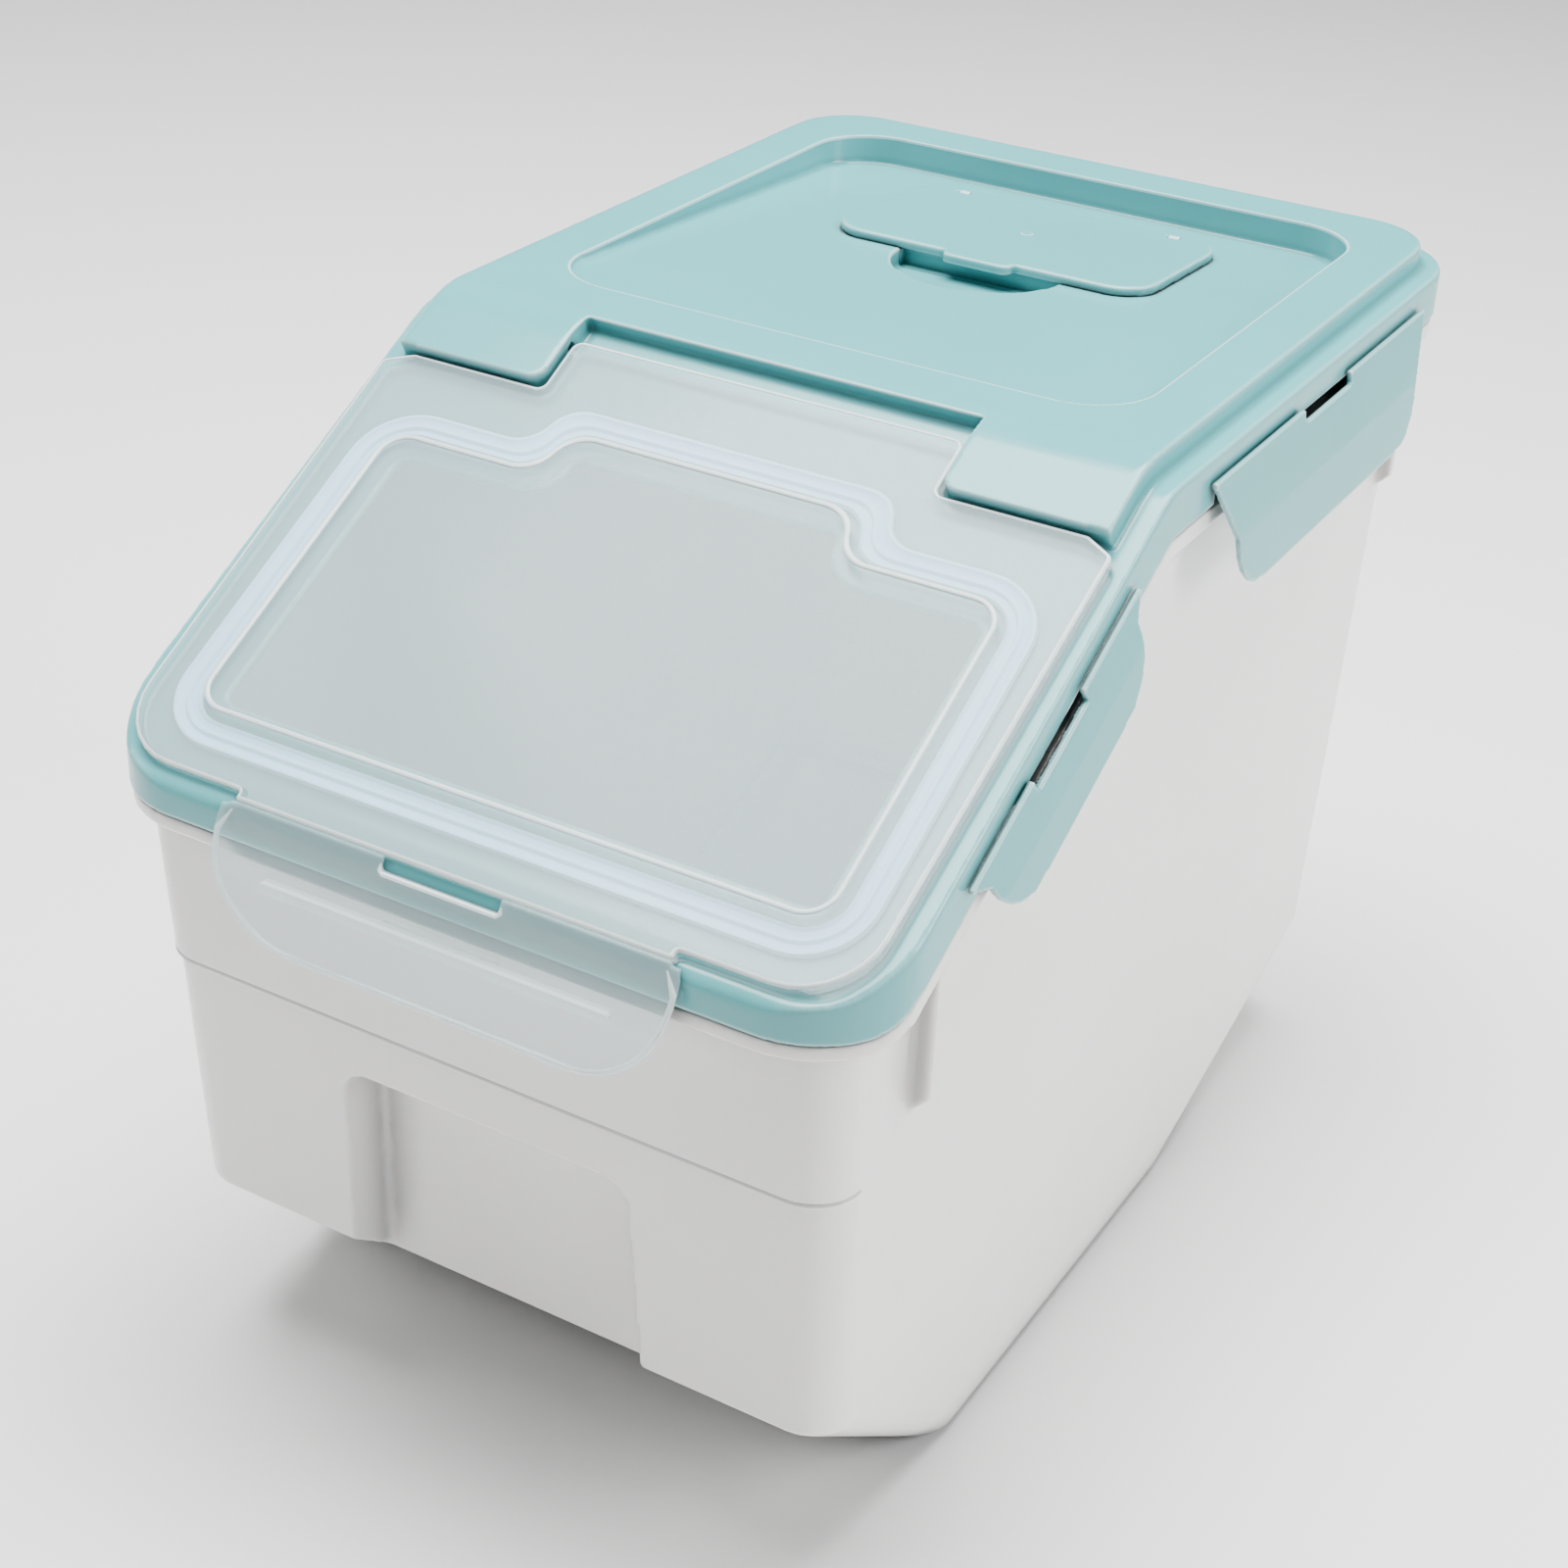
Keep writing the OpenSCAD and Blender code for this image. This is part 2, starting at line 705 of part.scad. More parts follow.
// Plan of the gasket's outer edge, set in by g
module gasket_plan(g) {
    round_rect(rim_w - 2 * (gasket_side + g), y_front + gasket_front + g,
        y_back - gasket_back - g, tub_r + gasket_round - g);
}

// ---- Flip lid ----

// Outline of the lid plate on the slope, set in by g
module lid_outline(g) {
    w0 = lid_w / 2 - g;
    w1 = w0 - lid_taper / 2;
    v0 = -(step_v + lid_gap) - g;
    v1 = -lid_front_v + g;
    r = lid_r - g;
    polygon([[lid_ear - w0, v0], [w0 - lid_ear, v0], [w0, v0 - lid_ear_v], [w1, v1 + r],
        [w1 - r, v1], [r - w1, v1], [-w1, v1 + r], [-w0, v0 - lid_ear_v]]);
    for (s = [-1, 1]) translate([s * (w1 - r), v1 + r]) circle(r);
}

// Flip lid with its tongue, hinge pins and front tab
module flip_lid() {
    tab_v = nose_v - bead_r - rest_gap;
    color(clear_aqua) {
        on_slope() {
            translate([0, 0, lid_h - lid_t]) linear_extrude(lid_t) {
                lid_outline(0);
                translate([-tongue_w, -2 * step_v]) square([2 * tongue_w, 2 * step_v - hinge_v]);
                translate([-tab_w / 2, -tab_v]) square([tab_w, lid_r]);
            }
            translate([-tongue_w, -hinge_v, hinge_h]) rotate([0, 90, 0])
                cylinder(h = 2 * tongue_w, r = tongue_r);
            for (s = [-1, 1]) hinge_pin(s, pin_r, pin_l);
            translate([0, 0, lid_h - skin]) linear_extrude(line_h + skin) difference() {
                window(line_t);
                window(0);
            }
        }
        difference() {
            on_slope() translate([0, 0, ledge_h]) linear_extrude(lid_h - lid_t - ledge_h + skin)
                difference() {
                    lid_outline(0);
                    lid_outline(lid_edge_t);
                    translate([-far, -step_v - 3 * lid_ear_v]) square([2 * far, far]);
                    translate([-far, -far - lid_front_v + lid_edge_t]) square([2 * far, far]);
                }
            across(far) under_rim(ledge_h + rest_gap);
        }
    }
}

// Seal band under the flip lid
module lid_seal() {
    color(pale_blue) on_slope() translate([0, 0, ledge_h + rest_gap])
        linear_extrude(lid_h - lid_t - ledge_h - rest_gap) difference() {
            window(seal_out + seal_w);
            window(seal_out);
        }
}

// ---- Latches ----

// Round bar along X
module rod(r, l) {
    rotate([0, 90, 0]) cylinder(h = l, r = r, center = true);
}

// Flap hanging from its hinge axis (X), leaning outwards (Y). Its hook reaches in to depth y
module flap(l, drop, lean, half, r, slot, y) {
    c = crease_share * drop;
    t = flap_t / 2;
    y1 = c * tan(lean);
    y2 = y1 + (drop - c) * tan(lip_lean);
    z2 = t - drop;
    n1 = t * [cos(lean), sin(lean)];
    n2 = t * [cos(lip_lean), sin(lip_lean)];
    low = r - drop;
    difference() {
        union() {
            intersection() {
                across(2 * l) polygon([-n1, n1, [y1, -c] + (n1 + n2) / 2, [y2, z2] + n2,
                    [y2, z2] - n2, [y1, -c] - (n1 + n2) / 2]);
                rotate([90, 0, 0]) linear_extrude(far, center = true) {
                    polygon([[-l / 2, drop], [-l / 2, 0], [-half - r, low], [-half, low - r],
                        [half, low - r], [half + r, low], [l / 2, 0], [l / 2, drop]]);
                    for (s = [-1, 1]) translate([s * half, low]) circle(r);
                }
            }
            rod(bead_r, l);
            translate([0, y2, z2]) rod(t, 2 * half);
        }
        translate([-slot / 2, -2 * bead_r, bead_r - slot_h])
            cube([slot, 4 * bead_r, 2 * slot_h]);
    }
    translate([-slot / 2, y, -c - flap_t]) cube([slot, y1 - y, flap_t]);
}

// The two sizes of side latch
module low_flap() {
    flap(low_l, low_drop, side_lean, low_l / 2 - low_end, low_r, low_slot, hook_y);
}
module high_flap() {
    flap(high_l, high_drop, side_lean, high_l / 2 - high_end, high_r, high_slot, hook_y);
}

// Latches in their places
module front_latch() {
    color(clear_aqua) translate([0, nose_y, nose_z]) rotate([0, 0, 180])
        flap(nose_l, nose_drop, front_lean, nose_l / 2 - nose_end, nose_r2, nose_slot, nose_hook);
}
module latch_right_front() { color(aqua) at_low(1) low_flap(); }
module latch_left_front() { color(aqua) at_low(-1) low_flap(); }
module latch_right_rear() { color(aqua) at_high(1) high_flap(); }
module latch_left_rear() { color(aqua) at_high(-1) high_flap(); }

// ---- Compartment cover ----

module compartment_cover() {
    color(aqua) on_panel() {
        difference() {
            union() {
                translate([0, 0, cover_z - cover_t]) linear_extrude(cover_t) difference() {
                    cover_plan(0);
                    translate([-far, barrel_y]) square([2 * far, far]);
                }
                translate([0, 0, cover_z - cover_t - collar_h])
                    linear_extrude(collar_h + skin) difference() {
                        collar_plan(cover_gap);
                        collar_plan(cover_gap + collar_t);
                    }
            }
            for (s = [-1, 1]) lug_room(s);
        }
        barrel_x(barrel_r, barrel_l);
        barrel_x(cover_pin_r, barrel_l + lug_gap + lug_l - 2 * lug_gap);
    }
}

// Room for a lug in the cover's plate
module lug_room(s) {
    x = s > 0 ? barrel_l : -barrel_l - lug_l - 2 * lug_gap;
    translate([x, barrel_y - barrel_r - cover_gap, 0]) cube([lug_l + 2 * lug_gap, far, far]);
}

// Plan of the collar that drops into the compartment, set in by g
module collar_plan(g) {
    round_rect(well_w - 2 * g, well_ya + g, well_yb - g, well_r - g);
}

tub();
lid_frame();
rim_gasket();
flip_lid();
lid_seal();
front_latch();
latch_right_front();
latch_right_rear();
latch_left_front();
latch_left_rear();
compartment_box();
compartment_cover();
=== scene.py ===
import math
import bmesh
import bpy
from mathutils import Matrix, Vector


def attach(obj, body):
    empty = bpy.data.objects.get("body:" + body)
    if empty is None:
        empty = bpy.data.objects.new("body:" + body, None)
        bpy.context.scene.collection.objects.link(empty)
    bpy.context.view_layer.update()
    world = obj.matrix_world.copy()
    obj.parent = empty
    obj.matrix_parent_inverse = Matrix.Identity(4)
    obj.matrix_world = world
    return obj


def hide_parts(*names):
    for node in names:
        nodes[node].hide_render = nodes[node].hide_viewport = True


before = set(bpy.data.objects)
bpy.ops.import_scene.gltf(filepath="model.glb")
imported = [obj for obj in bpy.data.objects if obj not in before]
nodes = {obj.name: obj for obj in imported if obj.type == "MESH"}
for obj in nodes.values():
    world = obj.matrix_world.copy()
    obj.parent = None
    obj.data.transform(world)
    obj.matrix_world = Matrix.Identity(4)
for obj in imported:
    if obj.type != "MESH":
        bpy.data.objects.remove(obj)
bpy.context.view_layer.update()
MM = 0.001


# ---------------------------------------------------------------- camera
# Yaw, pitch and roll of the view in degrees, the lens for a square image, and the eye in metres.
YAW, PITCH, ROLL = 29.24, 29.78, 2.678
LENS = 63.09
EYE = Vector((0.32877, -0.60542, 0.5236))


def make_camera():
    yaw, pitch, roll = (math.radians(a) for a in (YAW, PITCH, ROLL))
    level_part = math.cos(pitch)
    forward = Vector((-math.sin(yaw) * level_part, math.cos(yaw) * level_part, -math.sin(pitch)))
    right = forward.cross(Vector((0, 0, 1))).normalized()
    up = right.cross(forward)
    right_r = right * math.cos(roll) + up * math.sin(roll)
    up_r = up * math.cos(roll) - right * math.sin(roll)
    camera = bpy.data.objects.new("camera", bpy.data.cameras.new("camera"))
    bpy.context.scene.collection.objects.link(camera)
    camera.data.lens = LENS
    camera.data.sensor_width = 36
    place = Matrix((right_r, up_r, -forward)).transposed().to_4x4()
    place.translation = EYE
    camera.matrix_world = place
    bpy.context.scene.camera = camera


# ---------------------------------------------------------------- materials
# The painted highlight tone of convex edges, the satin grain that all the plastics share, and the least
# roughness.
EDGE_HIGHLIGHT = (0.86, 0.97, 0.97)
GRAIN_SCALE, GRAIN_STRENGTH, GRAIN_DEPTH = 900.0, 0.04, 0.0002
MIN_ROUGH = 0.02


def link(tree, a, out, b, name):
    tree.links.new(a.outputs[out], b.inputs[name])


def noise(tree, place, scale, detail):
    """A noise over the object's own coordinates."""
    field = tree.nodes.new("ShaderNodeTexNoise")
    field.inputs["Scale"].default_value = scale
    field.inputs["Detail"].default_value = detail
    link(tree, place, "Object", field, "Vector")
    return field


def map_range(tree, source, out, low, high, to_low, to_high):
    """A number from one range stretched on to another, held at its ends."""
    stretch = tree.nodes.new("ShaderNodeMapRange")
    stretch.inputs["From Min"].default_value = low
    stretch.inputs["From Max"].default_value = high
    stretch.inputs["To Min"].default_value = to_low
    stretch.inputs["To Max"].default_value = to_high
    link(tree, source, out, stretch, "Value")
    return stretch


def mix(tree, way, share, a, b):
    """Two colours mixed. share is a number or a socket, a is a socket, b is a socket or a colour."""
    blend = tree.nodes.new("ShaderNodeMix")
    blend.data_type = "RGBA"
    blend.blend_type = way
    if isinstance(share, float):
        blend.inputs[0].default_value = share
    else:
        tree.links.new(share, blend.inputs[0])
    tree.links.new(a, blend.inputs[6])
    if isinstance(b, tuple):
        blend.inputs[7].default_value = (*b, 1)
    else:
        tree.links.new(b, blend.inputs[7])
    return blend.outputs[2]


def plastic(name, color, rough=0.3, tint=0.04, subsurface=0.0, through=0.0,
            rough_swing=0.06, alpha=1.0, edge=0.0, crease=0.0, reach=0.003):
    """Moulded plastic: faint flow mottling in the colour, a fine satin grain and an uneven gloss.
    Its convex edges are paler by edge, a painted highlight, and its creases darker by crease,
    a painted shade, within reach metres."""
    material = bpy.data.materials.new(name)
    material.use_nodes = True
    tree = material.node_tree
    shader = tree.nodes["Principled BSDF"]
    place = tree.nodes.new("ShaderNodeTexCoord")
    flow = noise(tree, place, 9.0, 3.0)
    ramp = tree.nodes.new("ShaderNodeValToRGB")
    ramp.color_ramp.elements[0].position = 0.3
    ramp.color_ramp.elements[1].position = 0.7
    ramp.color_ramp.elements[0].color = (*[c * (1 - tint) for c in color], 1)
    ramp.color_ramp.elements[1].color = (*[min(1, c * (1 + tint)) for c in color], 1)
    link(tree, flow, "Fac", ramp, "Fac")
    tone = ramp.outputs["Color"]
    # Painted highlight: convex edges, found by pointiness, are mixed towards the pale highlight tone.
    if edge:
        shape = tree.nodes.new("ShaderNodeNewGeometry")
        share = map_range(tree, shape, "Pointiness", 0.51, 0.56, 0.0, edge)
        tone = mix(tree, "MIX", share.outputs["Result"], tone, EDGE_HIGHLIGHT)
    # Painted shade: creases and the undersides of overhangs, found by ambient occlusion within reach, are
    # darkened by crease.
    if crease:
        crease_shade_ao = tree.nodes.new("ShaderNodeAmbientOcclusion")
        crease_shade_ao.samples = 6
        crease_shade_ao.inputs["Distance"].default_value = reach
        depth = map_range(tree, crease_shade_ao, "AO", 0.3, 0.95, 1 - crease, 1.0)
        tone = mix(tree, "MULTIPLY", 1.0, tone, depth.outputs["Result"])
    tree.links.new(tone, shader.inputs["Base Color"])
    gloss = noise(tree, place, 34.0, 4.0)
    smoothest = max(MIN_ROUGH, rough - rough_swing)
    spread = map_range(tree, gloss, "Fac", 0.0, 1.0, smoothest, rough + rough_swing)
    link(tree, spread, "Result", shader, "Roughness")
    fine = noise(tree, place, GRAIN_SCALE, 2.0)
    relief = tree.nodes.new("ShaderNodeBump")
    relief.inputs["Strength"].default_value = GRAIN_STRENGTH
    relief.inputs["Distance"].default_value = GRAIN_DEPTH
    link(tree, fine, "Fac", relief, "Height")
    link(tree, relief, "Normal", shader, "Normal")
    shader.inputs["IOR"].default_value = 1.49
    shader.inputs["Subsurface Weight"].default_value = subsurface
    shader.inputs["Subsurface Scale"].default_value = 0.004
    shader.inputs["Transmission Weight"].default_value = through
    shader.inputs["Alpha"].default_value = alpha
    return material


# The plastics' colours, before the mottling.
AQUA = (0.105, 0.40, 0.42)
GREY = (0.85, 0.845, 0.825)
CLEAR = (0.70, 0.95, 0.99)
BAND = (0.50, 0.74, 1.0)
RUBBER = (0.62, 0.66, 0.68)
LIP = (0.92, 0.98, 0.98)
# PALE_LINE is partly the milkier look of the thicker clear plastic and partly a painted highlight on the
# lid's raised lines.
PALE_LINE = (0.86, 0.92, 0.92)
# STEP_SHADE is a painted shadow colour for the band along the tub's step.
STEP_SHADE = tuple(c * 0.6 for c in GREY)

# The tub and aqua plastics carry a painted highlight on convex edges (edge) and painted shade in creases
# and under overhangs (crease, reach).
tub_plastic = plastic("tub_plastic", GREY, rough=0.2, subsurface=0.2, edge=0.05, crease=0.85, reach=0.013)
aqua_plastic = plastic("aqua_plastic", AQUA, rough=0.2, subsurface=0.1, edge=0.45, crease=0.7)
lid_plastic = plastic("lid_plastic", CLEAR, rough=0.15, alpha=0.21, tint=0.02, rough_swing=0.03)
latch_plastic = plastic("clear_latch_plastic", CLEAR, rough=0.1, alpha=0.2, tint=0.02, rough_swing=0.03)
band_plastic = plastic("band_plastic", BAND, rough=0.45, subsurface=0.3, tint=0.03)
rubber = plastic("gasket_rubber", RUBBER, rough=0.6, tint=0.06)
lip_plastic = plastic("clear_lip_plastic", LIP, rough=0.08, alpha=0.55, tint=0.02, rough_swing=0.03)
# line_plastic's pale tone is partly a painted highlight on the raised lines round the lid and its window.
line_plastic = plastic("line_plastic", PALE_LINE, rough=0.2, tint=0.02, through=0.3, subsurface=0.2)
# A painted shadow: the darker plastic of the band along the tub's step.
tub_step_shadow_plastic = plastic("tub_step_shadow_plastic", STEP_SHADE, rough=0.2, tint=0.02)


def paint(piece, material):
    piece.data.materials.clear()
    piece.data.materials.append(material)


# ---------------------------------------------------------------- moulded edges
# The rim line: level at the back, sloping down to the front from the bend.
BEND_Y, RIM_Z, SLOPE = -28.88, 248.0, math.radians(28.4)
RIM_HALF, RIM_R = 111.0, 28.0
Y_FRONT, Y_BACK = -176.78, 185.72
# How far behind the bend the rim starts to count as level.
BEND_ROUND = 5

# Where the moulds round further: the frame's skirt and deck edges, the tub's foot.
SKIRT_EDGE_H, SKIRT_EDGE_IN = 9, 4.5
DECK_IN, DECK_EDGE_H, DECK_EDGE_IN = 6.6, 15.5, 6
TUB_FOOT_Z = 9


def over_rim(p):
    """Height in mm of a point over the rim line, square to it."""
    if p.y > BEND_Y + BEND_ROUND:
        return p.z - RIM_Z
    return (BEND_Y - p.y) * math.sin(SLOPE) + (p.z - RIM_Z) * math.cos(SLOPE)


def inside(p, half, y0, y1, r):
    """Distance in mm from a point in to a rounded rectangle's edge, negative outside."""
    qx = abs(p.x) - (half - r)
    qy = abs(p.y - (y0 + y1) / 2) - ((y1 - y0) / 2 - r)
    return r - math.hypot(max(qx, 0), max(qy, 0)) - min(max(qx, qy), 0)


def soften(name, node, body, material, voxel, passes, extra=None, extra_passes=0):
    """A node's form again, as one even skin whose edges are rounded as a mould rounds them.
    extra gives each point's share, 0 to 1, of some further rounding."""
    piece = bpy.data.objects.new(name, nodes[node].data.copy())
    bpy.context.scene.collection.objects.link(piece)
    skin = piece.modifiers.new("skin", "REMESH")
    skin.mode = "VOXEL"
    skin.voxel_size = voxel * MM
    skin.use_smooth_shade = True
    even = piece.modifiers.new("even", "SMOOTH")
    even.factor = 0.5
    even.iterations = passes
    bake(piece)
    if extra:
        group = piece.vertex_groups.new(name="rounding")
        for vertex in piece.data.vertices:
            share = extra(vertex.co / MM)
            if share > 0.01:
                group.add([vertex.index], share, "REPLACE")
        more = piece.modifiers.new("rounding", "SMOOTH")
        more.factor = 0.5
        more.iterations = extra_passes
        more.vertex_group = group.name
        bake(piece)
        piece.vertex_groups.clear()
    paint(piece, material)
    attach(piece, body)
    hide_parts(node)
    return piece


def bake(piece):
    """Puts a piece's modifiers into its mesh."""
    graph = bpy.context.evaluated_depsgraph_get()
    done = bpy.data.meshes.new_from_object(piece.evaluated_get(graph))
    piece.modifiers.clear()
    piece.data = done


def frame_rounding(p):
    """Further rounding along the frame's outer upper edges."""
    h = over_rim(p)
    rim = inside(p, RIM_HALF, Y_FRONT, Y_BACK, RIM_R)
    deck = inside(p, RIM_HALF - DECK_IN, Y_FRONT, Y_BACK - DECK_IN, RIM_R - DECK_IN)
    if h > SKIRT_EDGE_H and rim < SKIRT_EDGE_IN:
        return 1.0
    if h > DECK_EDGE_H and deck < DECK_EDGE_IN:
        return 1.0
    return 0.0


def tub_rounding(p):
    """Further rounding along the tub's chamfered lower edges."""
    return 1.0 if p.z < TUB_FOOT_Z else 0.0


# ---------------------------------------------------------------- lofted plates
def path(corners, inset=0.0, steps=7):
    """A closed outline whose corners are (x, y, radius), anticlockwise, moved inwards by inset."""
    lines = []
    for i, corner in enumerate(corners):
        a, b = Vector(corner[:2]), Vector(corners[(i + 1) % len(corners)][:2])
        along = (b - a).normalized()
        lines.append((a + Vector((-along.y, along.x)) * inset, along))
    points = []
    for i, corner in enumerate(corners):
        (p, d), (q, e) = lines[i - 1], lines[i]
        cross = d.x * e.y - d.y * e.x
        tip = p + d * (((q - p).x * e.y - (q - p).y * e.x) / cross)
        turn = math.atan2(cross, d.dot(e))
        way = 1 if turn > 0 else -1
        radius = max(corner[2] - inset * way, 0.05)
        side = Vector((-d.y, d.x)) * way
        centre = tip - d * radius * math.tan(abs(turn) / 2) + side * radius
        for k in range(steps + 1):
            points.append(centre + Matrix.Rotation(turn * k / steps, 2) @ (-side * radius))
    return points


def on_slope(x, s, h):
    """A point x across, s up the slope from the bend and h over the rim line, in metres."""
    return Vector((x, BEND_Y + s * math.cos(SLOPE) - h * math.sin(SLOPE),
                   RIM_Z + s * math.sin(SLOPE) + h * math.cos(SLOPE))) * MM


SHARP_ANGLE = math.radians(35.0)


def finish_piece(name, form, body, material):
    """Makes a piece of a bmesh, with flat faces shaded flat and rounded edges smooth."""
    bmesh.ops.recalc_face_normals(form, faces=form.faces)
    for face in form.faces:
        face.smooth = True
    mesh = bpy.data.meshes.new(name)
    form.to_mesh(mesh)
    form.free()
    mesh.set_sharp_from_angle(angle=SHARP_ANGLE)
    piece = bpy.data.objects.new(name, mesh)
    bpy.context.scene.collection.objects.link(piece)
    even = piece.modifiers.new("even_shading", "WEIGHTED_NORMAL")
    even.keep_sharp = True
    paint(piece, material)
    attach(piece, body)
    return piece


def loft(name, rings, place, body, material, ends=True):
    """A skin over rings of points (x, s, h), closed at its ends or run back to its first ring."""
    form = bmesh.new()
    rows = [[form.verts.new(place(*point)) for point in ring] for ring in rings]
    for low, high in zip(rows, rows[1:] + ([] if ends else rows[:1])):
        for i in range(len(low)):
            j = (i + 1) % len(low)
            form.faces.new((low[i], low[j], high[j], high[i]))
    if ends:
        form.faces.new(list(reversed(rows[0])))
        form.faces.new(rows[-1])
    return finish_piece(name, form, body, material)


def level(points, h):
    return [(p.x, p.y, h) for p in points]


# ---------------------------------------------------------------- flip lid
LID_TOP, LID_UNDER, LID_FOOT = 18.0, 16.0, 14.45
LID_RIGHT = [(62, -157.3, 0.8), (62, -154.77, 1.0), (105, -154.77, 20), (107, -22.2, 2.5),
             (99, -18.2, 2.5), (57.8, -18.2, 2.2), (57.8, -0.3, 3.2)]
LID_PLAN = LID_RIGHT + [(-x, s, r) for x, s, r in reversed(LID_RIGHT)]


def make_lid():
    edge = [(1.6, LID_UNDER), (1.6, LID_FOOT), (0.3, LID_FOOT), (0.0, LID_FOOT + 0.3), (0.0, LID_TOP - 1.0)]
    edge += [(1 - math.cos(a), LID_TOP - 1 + math.sin(a)) for a in (0.4, 0.8, 1.2)]
    edge += [(1.0, LID_TOP)]
    rings = [level(path(LID_PLAN, inset), h) for inset, h in edge]
    lid = loft("lid_window", rings, on_slope, "lid", lid_plastic)
    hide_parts("flip_lid")


def make_lid_edge():
    """The pale rounded edge that runs round the lid's plate."""
    bead = [(0.9, LID_TOP - 0.3), (0.9, LID_TOP + 0.03), (0.5, LID_TOP + 0.03), (0.15, LID_TOP - 0.2),
            (-0.03, LID_TOP - 0.6), (-0.03, LID_TOP - 1.0), (0.5, LID_TOP - 1.0)]
    rings = [level(path(LID_PLAN, inset), h) for inset, h in bead]
    loft("lid_edge_line", rings, on_slope, "lid", line_plastic, ends=False)


# The raised line round the window: half width, front and back ends, corner radius, wave.
LINE_HALF, LINE_FRONT, LINE_BACK, LINE_THROAT, LINE_R = 89.5, -136.4, -44.0, -29.7, 8.0
WAVE_X, WAVE_TURN = 43.0, math.radians(75)
WAVE_SHIFT = (1 - math.cos(WAVE_TURN)) / math.sin(WAVE_TURN)
LINE_STEPS = 9


def window_line(g):
    """The window's wavy outline, grown by g, anticlockwise."""
    wave_r = (LINE_THROAT - LINE_BACK) / (2 * (1 - math.cos(WAVE_TURN)))
    reach = wave_r * math.sin(WAVE_TURN)
    x = WAVE_X + g * WAVE_SHIFT
    corner_x, corner_r = LINE_HALF - LINE_R, LINE_R + g
    right = [((corner_x, LINE_FRONT + LINE_R), corner_r, -90, 0),
             ((corner_x, LINE_BACK - LINE_R), corner_r, 0, 90),
             ((x + reach, LINE_BACK + g + wave_r), wave_r, -90, -90 - math.degrees(WAVE_TURN)),
             ((x - reach, LINE_THROAT + g - wave_r), wave_r, 90 - math.degrees(WAVE_TURN), 90)]
    points = []
    for centre, radius, start, end in right:
        for k in range(LINE_STEPS + 1):
            a = math.radians(start + (end - start) * k / LINE_STEPS)
            points.append(Vector((centre[0] + radius * math.cos(a), centre[1] + radius * math.sin(a))))
    return points + [Vector((-p.x, p.y)) for p in reversed(points)]


def make_line():
    bead = [(-0.75, 17.9), (-0.6, 18.25), (-0.25, 18.45), (0.25, 18.45), (0.6, 18.25), (0.75, 17.9)]
    rings = [level(window_line(g), h) for g, h in bead]
    loft("lid_window_line", rings, on_slope, "lid", line_plastic, ends=False)


def make_seal():
    foot, top, ridge = 14.35, 15.25, 15.9
    bead = [(2.3, foot), (2.3, top), (2.9, ridge), (3.5, top), (4.9, top - 0.2), (5.5, ridge), (6.2, ridge),
            (6.8, top - 0.2), (8.2, top), (8.9, ridge), (9.6, ridge), (9.9, top), (9.9, foot)]
    rings = [level(window_line(g), h) for g, h in bead]
    seal = loft("lid_seal_band", rings, on_slope, "lid", band_plastic, ends=False)
    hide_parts("lid_seal")


# ---------------------------------------------------------------- front flap and cover
# The front flap hangs from its hinge line, leans out, then turns steeper at its crease.
NOSE_Y, NOSE_Z, NOSE_DROP = -176.68, 187.75, 32.0
CREASE_D, FLAP_LEAN, LIP_LEAN = 16.0, math.radians(22), math.radians(6)
FLAP_TOP_HALF, FLAP_HALF, FLAP_R, SLOT_HALF = 62.5, 65.5, 26.0, 17.1
FLAP_STEPS, BEAD_SIDES = 14, 8


def at(x, y, z):
    return Vector((x, y, z)) * MM


def on_flap(x, d, out):
    """A point x across, d below the hinge line and out from the middle of the flap's sheet."""
    lean = min(d, CREASE_D) * math.tan(FLAP_LEAN) + max(d - CREASE_D, 0) * math.tan(LIP_LEAN)
    return Vector((x, NOSE_Y - lean - out, NOSE_Z - d))


def flap_outline(inset):
    """The flap's free edge from hinge end to hinge end, as (x, d)."""
    low = NOSE_DROP - FLAP_R
    r = FLAP_R - inset
    half = []
    for k in range(FLAP_STEPS + 1):
        a = math.pi / 2 * k / FLAP_STEPS
        half.append((FLAP_HALF - FLAP_R + r * math.cos(a), low + r * math.sin(a)))
    half.insert(0, (FLAP_TOP_HALF - inset, 1.2))
    return half + [(-x, d) for x, d in reversed(half)]


def flap_bead(name, line, radius):
    """A round bead swept along a line of points on the clear flap."""
    rings = []
    for i, point in enumerate(line):
        along = (line[min(i + 1, len(line) - 1)] - line[max(i - 1, 0)]).normalized()
        out = Vector((0, -1, 0))
        across = along.cross(out).normalized()
        turns = [2 * math.pi * k / BEAD_SIDES for k in range(BEAD_SIDES)]
        size = radius if 0 < i < len(line) - 1 else radius / 4
        rings.append([point + (across * math.cos(a) + out * math.sin(a)) * size for a in turns])
    loft(name, rings, at, "front_latch", lip_plastic)


def make_flap_lip():
    """The flap's thickened free edge, and the rim of the slot at its hinge."""
    flap_bead("front_flap_lip", [on_flap(x, d, 0.1) for x, d in flap_outline(0.7)], 0.8)
    slot = [(SLOT_HALF, 0.8), (SLOT_HALF, 2.2), (SLOT_HALF - 0.8, 3.0)]
    slot += [(-x, d) for x, d in reversed(slot)]
    flap_bead("front_flap_slot_rim", [on_flap(x, d, 0.3) for x, d in slot], 0.6)


